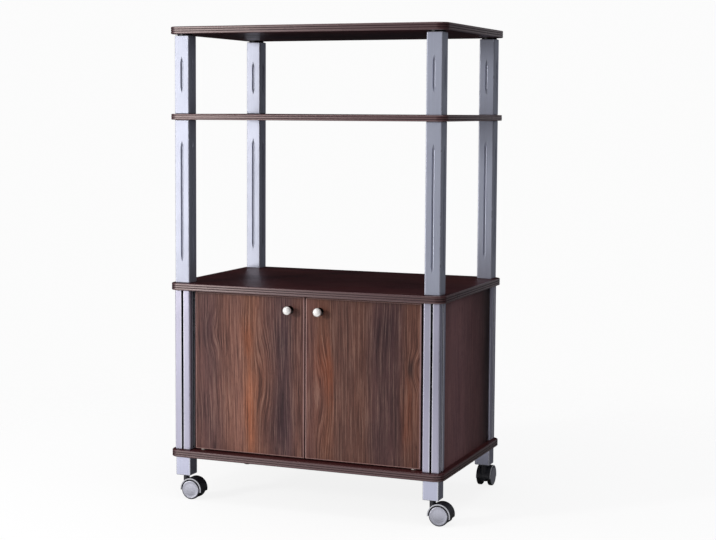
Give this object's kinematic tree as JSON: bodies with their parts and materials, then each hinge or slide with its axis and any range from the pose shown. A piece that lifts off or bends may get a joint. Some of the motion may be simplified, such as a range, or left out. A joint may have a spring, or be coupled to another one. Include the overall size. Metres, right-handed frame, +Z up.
{
  "type": "microwave stand",
  "caption": "Open kitchen stand for a microwave oven on twin-wheel casters: square silver posts, walnut boards, an oven bay, a shelf above and a cabinet with hinged doors below.",
  "frame": {"origin": "on the floor, in the middle of the outline of the whole stand, trailing casters included", "axes": "+Z up; the doors face -Y; +X to the right of someone who faces the doors"},
  "size_m": [0.628, 0.41, 0.982],
  "materials": {
    "board_foil": "dark walnut foil on particle board, satin",
    "edging": "extruded T-moulding, dark maroon brown, glossy",
    "silver_post": "silver lacquer on fibreboard, satin",
    "door_foil": "walnut foil with upright grain on particle board, satin",
    "panel_foil": "walnut foil with upright grain on particle board, satin",
    "hardboard": "foil on hardboard, satin",
    "steel": "zinc-plated",
    "silver_knob": "silver lacquer",
    "pale_plastic": "moulded, satin",
    "socket_plastic": "moulded, matte",
    "hood_plastic": "moulded, satin black",
    "wheel_plastic": "moulded black wheel with a silver outer disc"
  },
  "bodies": {
    "stand": {"cabinet_base": "board_foil", "cabinet_top": "board_foil", "upper_shelf": "board_foil", "top_board": "board_foil", "cabinet_base_edging": "edging", "cabinet_top_edging": "edging", "upper_shelf_edging": "edging", "top_board_edging": "edging", "front_left_leg": "silver_post", "front_left_cabinet_post": "silver_post", "front_left_middle_post": "silver_post", "front_left_top_post": "silver_post", "front_right_leg": "silver_post", "front_right_cabinet_post": "silver_post", "front_right_middle_post": "silver_post", "front_right_top_post": "silver_post", "back_left_leg": "silver_post", "back_left_cabinet_post": "silver_post", "back_left_middle_post": "silver_post", "back_left_top_post": "silver_post", "back_right_leg": "silver_post", "back_right_cabinet_post": "silver_post", "back_right_middle_post": "silver_post", "back_right_top_post": "silver_post", "connecting_studs": "steel", "top_post_spacers": "socket_plastic", "left_side_panel": "panel_foil", "right_side_panel": "panel_foil", "back_panel": "hardboard", "pivot_bushes": "pale_plastic", "magnetic_catch": "pale_plastic", "caster_sockets": "socket_plastic", "caster_stems": "steel"},
    "left_door": {"left_door": "door_foil", "left_door_pins": "pale_plastic", "left_door_knob": "silver_knob", "left_knob_screw": "steel", "left_strike_plate": "steel"},
    "right_door": {"right_door": "door_foil", "right_door_pins": "pale_plastic", "right_door_knob": "silver_knob", "right_knob_screw": "steel", "right_strike_plate": "steel"},
    "front_left_caster": {"front_left_caster_hood": "hood_plastic", "front_left_caster_axle": "steel"},
    "front_left_left_wheel": {"front_left_caster_left_wheel": "wheel_plastic"},
    "front_left_right_wheel": {"front_left_caster_right_wheel": "wheel_plastic"},
    "front_right_caster": {"front_right_caster_hood": "hood_plastic", "front_right_caster_axle": "steel"},
    "front_right_left_wheel": {"front_right_caster_left_wheel": "wheel_plastic"},
    "front_right_right_wheel": {"front_right_caster_right_wheel": "wheel_plastic"},
    "back_left_caster": {"back_left_caster_hood": "hood_plastic", "back_left_caster_axle": "steel"},
    "back_left_left_wheel": {"back_left_caster_left_wheel": "wheel_plastic"},
    "back_left_right_wheel": {"back_left_caster_right_wheel": "wheel_plastic"},
    "back_right_caster": {"back_right_caster_hood": "hood_plastic", "back_right_caster_axle": "steel"},
    "back_right_left_wheel": {"back_right_caster_left_wheel": "wheel_plastic"},
    "back_right_right_wheel": {"back_right_caster_right_wheel": "wheel_plastic"}
  },
  "joints": [
    {"name": "left_door_hinge", "type": "hinge", "parent": "stand", "child": "left_door", "pos_m": [-0.2325, -0.178, 0.2725], "axis": [0, 0, -1], "range_deg": [0, 125]},
    {"name": "right_door_hinge", "type": "hinge", "parent": "stand", "child": "right_door", "pos_m": [0.2325, -0.178, 0.2725], "axis": [0, 0, 1], "range_deg": [0, 125]},
    {"name": "front_left_caster_swivel", "type": "hinge", "parent": "stand", "child": "front_left_caster", "pos_m": [-0.273, -0.178, 0.048], "axis": [0, 0, 1], "continuous": true},
    {"name": "front_left_left_wheel_spin", "type": "hinge", "parent": "front_left_caster", "child": "front_left_left_wheel", "pos_m": [-0.256, -0.178, 0.0205], "axis": [0, 1, 0], "continuous": true},
    {"name": "front_left_right_wheel_spin", "type": "hinge", "parent": "front_left_caster", "child": "front_left_right_wheel", "pos_m": [-0.256, -0.178, 0.0205], "axis": [0, 1, 0], "continuous": true},
    {"name": "front_right_caster_swivel", "type": "hinge", "parent": "stand", "child": "front_right_caster", "pos_m": [0.273, -0.178, 0.048], "axis": [0, 0, 1], "continuous": true},
    {"name": "front_right_left_wheel_spin", "type": "hinge", "parent": "front_right_caster", "child": "front_right_left_wheel", "pos_m": [0.29, -0.178, 0.0205], "axis": [0, 1, 0], "continuous": true},
    {"name": "front_right_right_wheel_spin", "type": "hinge", "parent": "front_right_caster", "child": "front_right_right_wheel", "pos_m": [0.29, -0.178, 0.0205], "axis": [0, 1, 0], "continuous": true},
    {"name": "back_left_caster_swivel", "type": "hinge", "parent": "stand", "child": "back_left_caster", "pos_m": [-0.273, 0.164, 0.048], "axis": [0, 0, 1], "continuous": true},
    {"name": "back_left_left_wheel_spin", "type": "hinge", "parent": "back_left_caster", "child": "back_left_left_wheel", "pos_m": [-0.29, 0.164, 0.0205], "axis": [0, -1, 0], "continuous": true},
    {"name": "back_left_right_wheel_spin", "type": "hinge", "parent": "back_left_caster", "child": "back_left_right_wheel", "pos_m": [-0.29, 0.164, 0.0205], "axis": [0, -1, 0], "continuous": true},
    {"name": "back_right_caster_swivel", "type": "hinge", "parent": "stand", "child": "back_right_caster", "pos_m": [0.273, 0.164, 0.048], "axis": [0, 0, 1], "continuous": true},
    {"name": "back_right_left_wheel_spin", "type": "hinge", "parent": "back_right_caster", "child": "back_right_left_wheel", "pos_m": [0.273, 0.181, 0.0205], "axis": [-1, 0, 0], "continuous": true},
    {"name": "back_right_right_wheel_spin", "type": "hinge", "parent": "back_right_caster", "child": "back_right_right_wheel", "pos_m": [0.273, 0.181, 0.0205], "axis": [-1, 0, 0], "continuous": true}
  ]
}
